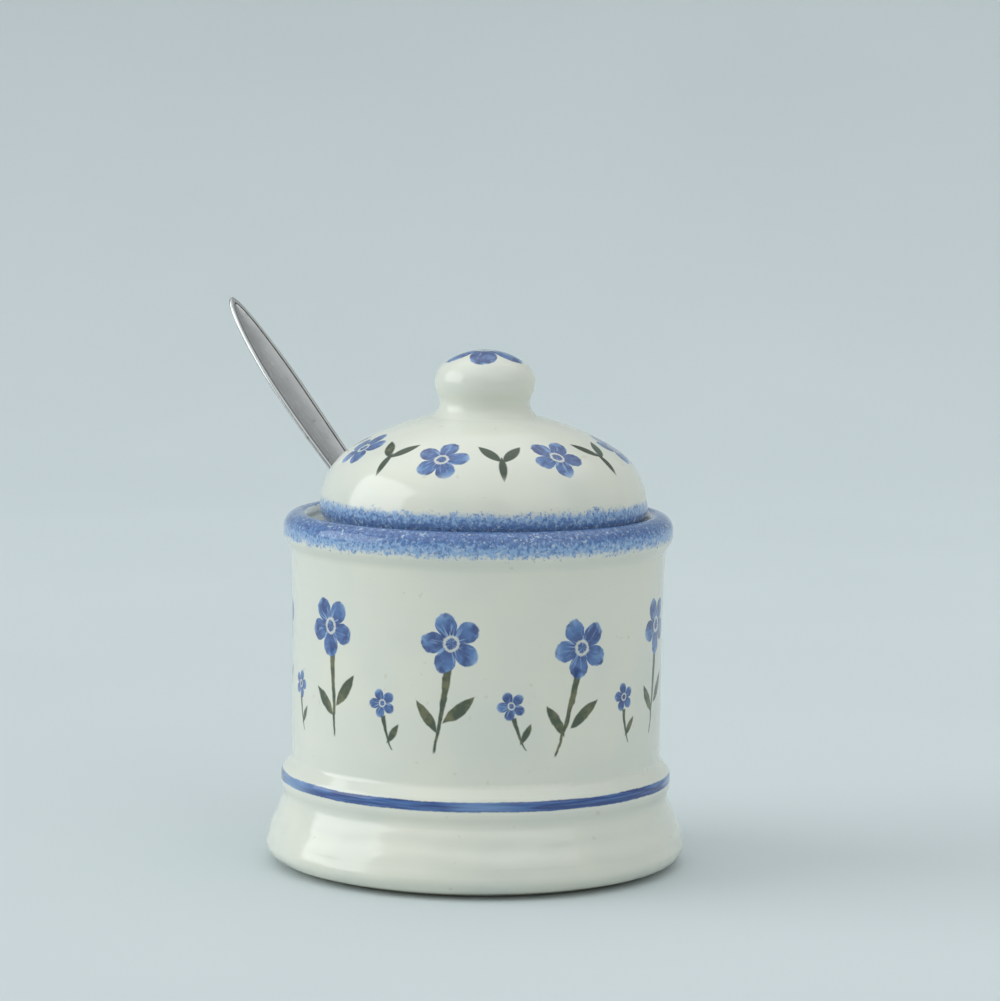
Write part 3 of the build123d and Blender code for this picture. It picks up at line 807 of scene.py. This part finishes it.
def studio():
    """Floor that curves up into a backdrop."""
    flat_end = STUDIO_BACK - STUDIO_BEND
    outline = [(STUDIO_FRONT, 0.0), (flat_end, 0.0)]
    for step in range(1, STUDIO_STEPS + 1):
        angle = step * math.pi / 2 / STUDIO_STEPS
        back = flat_end + STUDIO_BEND * math.sin(angle)
        outline.append((back, STUDIO_BEND - STUDIO_BEND * math.cos(angle)))
    outline.append((STUDIO_BACK, STUDIO_HEIGHT))
    verts = [(side * STUDIO_WIDTH, y, z) for y, z in outline for side in (-1, 1)]
    faces = [(2 * i, 2 * i + 1, 2 * i + 3, 2 * i + 2) for i in range(len(outline) - 1)]
    mesh = bpy.data.meshes.new("studio_floor")
    mesh.from_pydata(verts, [], faces)
    for polygon in mesh.polygons:
        polygon.use_smooth = True
    board = bpy.data.objects.new("studio_floor", mesh)
    scene.collection.objects.link(board)
    mesh.materials.append(floor_material())


# Light: one lamp in metres and watts, and a surround with a window, its half sizes as shares of its distance
LAMP_AIM = (0, 0, 0.05)
FILL_PLACE = (1.16, -1.24, 1.10)
FILL_SIZE = (1.6, 1.2)
FILL_POWER = 4.2
FILL_COLOUR = (0.98, 0.99, 0.96)
WINDOW_DIRECTION = (-1.30, -0.10, 0.55)
WINDOW_HALF = (0.46, 0.355)
WINDOW_SOFT = 0.03
WINDOW_STRENGTH = 2.5
WINDOW_AHEAD = 0.01
SKY_START, SKY_END = 0.58, 0.80
SKY_LOW, SKY_HIGH = 0.40, 1.12
SKY_COLOUR = (0.93, 0.972, 0.978, 1.0)


def lamp(name, place, target, size, power, colour):
    """Soft oblong lamp at a place, facing a target."""
    data = bpy.data.lights.new(name, "AREA")
    data.shape = "RECTANGLE"
    data.size, data.size_y = size
    data.energy = power
    data.color = colour
    thing = bpy.data.objects.new(name, data)
    thing.location = place
    thing.rotation_euler = (Vector(target) - Vector(place)).to_track_quat("-Z", "Y").to_euler()
    scene.collection.objects.link(thing)


def surround():
    """Pale surround, brighter overhead, with a bright soft window on the left."""
    world = bpy.data.worlds.new("surround")
    world.use_nodes = True
    tree = world.node_tree
    direction = tree.nodes.new("ShaderNodeTexCoord").outputs["Generated"]

    def part(axis):
        """Share of the direction that runs along an axis."""
        node = tree.nodes.new("ShaderNodeVectorMath")
        node.operation = "DOT_PRODUCT"
        node.inputs[1].default_value = axis
        tree.links.new(direction, node.inputs[0])
        return node.outputs["Value"]

    def math_node(kind, first, second=0.0):
        """Maths node on a value and another value or number."""
        node = tree.nodes.new("ShaderNodeMath")
        node.operation = kind
        for socket, value in zip(node.inputs, (first, second)):
            if isinstance(value, float):
                socket.default_value = value
            else:
                tree.links.new(value, socket)
        return node.outputs[0]

    def ramp(value, start, end, low, high):
        """Smooth change from a low to a high number while a value runs from start to end."""
        node = tree.nodes.new("ShaderNodeMapRange")
        node.interpolation_type = "SMOOTHSTEP"
        tree.links.new(value, node.inputs["Value"])
        for name, number in zip(("From Min", "From Max", "To Min", "To Max"), (start, end, low, high)):
            node.inputs[name].default_value = number
        return node.outputs["Result"]

    forward = Vector(WINDOW_DIRECTION).normalized()
    side = forward.cross(UP).normalized()
    ahead = part(forward)
    pane = math_node("GREATER_THAN", ahead, WINDOW_AHEAD)
    for axis, half in zip((side, side.cross(forward)), WINDOW_HALF):
        off = math_node("ABSOLUTE", math_node("DIVIDE", part(axis), ahead))
        pane = math_node("MULTIPLY", pane, ramp(off, half - WINDOW_SOFT, half + WINDOW_SOFT, 1.0, 0.0))
    sky = ramp(part(UP), SKY_START, SKY_END, SKY_LOW, SKY_HIGH)
    background = tree.nodes["Background"]
    background.inputs["Color"].default_value = SKY_COLOUR
    strength = math_node("ADD", sky, math_node("MULTIPLY", pane, WINDOW_STRENGTH))
    tree.links.new(strength, background.inputs["Strength"])
    scene.world = world


# Camera as in the photo, in millimetres and radians, its lens in pixels of the photo's longer side
CAMERA_PLACE = (4.67, -815.0, 168.0)
CAMERA_AIM = (4.67, 0.0, 80.0)
CAMERA_ROLL = 0.0119
FOCAL_PIXELS, PHOTO_PIXELS = 3728.0, 1001.0
SENSOR = 36.0
NEAREST = 10.0


def camera():
    """Camera with a long lens and a slight roll, looking a little down."""
    place = Vector(CAMERA_PLACE) * MM
    aim = Vector(CAMERA_AIM) * MM
    data = bpy.data.cameras.new("photo_camera")
    data.sensor_width = SENSOR
    data.sensor_fit = "AUTO"
    data.lens = FOCAL_PIXELS * SENSOR / PHOTO_PIXELS
    data.clip_start = NEAREST * MM
    view = bpy.data.objects.new("photo_camera", data)
    turn = (aim - place).to_track_quat("-Z", "Y").to_matrix().to_4x4()
    view.matrix_world = Matrix.Translation(place) @ turn @ Matrix.Rotation(CAMERA_ROLL, 4, "Z")
    scene.collection.objects.link(view)
    scene.camera = view


dress("pot_body", pot_material())
dress("lid", lid_material())
spoon = spoon_mesh()
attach(spoon, "spoon")
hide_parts("spoon")
studio()
lamp("fill", FILL_PLACE, LAMP_AIM, FILL_SIZE, FILL_POWER, FILL_COLOUR)
surround()
camera()

bpy.context.view_layer.update()
